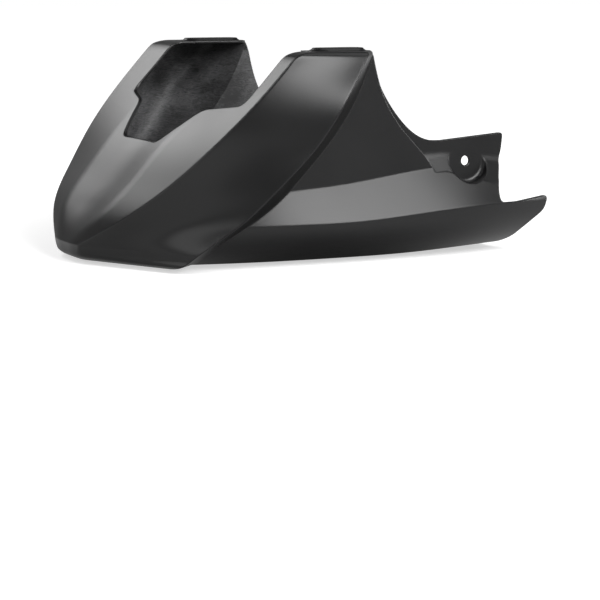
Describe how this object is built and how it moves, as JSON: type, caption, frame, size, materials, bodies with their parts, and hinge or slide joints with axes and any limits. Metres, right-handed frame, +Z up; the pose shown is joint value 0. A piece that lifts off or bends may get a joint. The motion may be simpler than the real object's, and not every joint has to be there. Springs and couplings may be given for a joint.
{
  "type": "motorcycle belly pan",
  "caption": "Moulded shell that closes the underside of a motorcycle engine, with a notched hood, side bands, ledges and bolt holes for its brackets.",
  "frame": {"origin": "centre of the pan's plan box, on the surface that the floor rests on", "axes": "nose toward -X, left side toward -Y, +Z up"},
  "size_m": [0.4987, 0.4084, 0.222],
  "materials": {
    "shell": "satin black outside, rough black fibre-reinforced resin inside"
  },
  "bodies": {
    "root": {"belly_pan": "shell"}
  },
  "joints": []
}
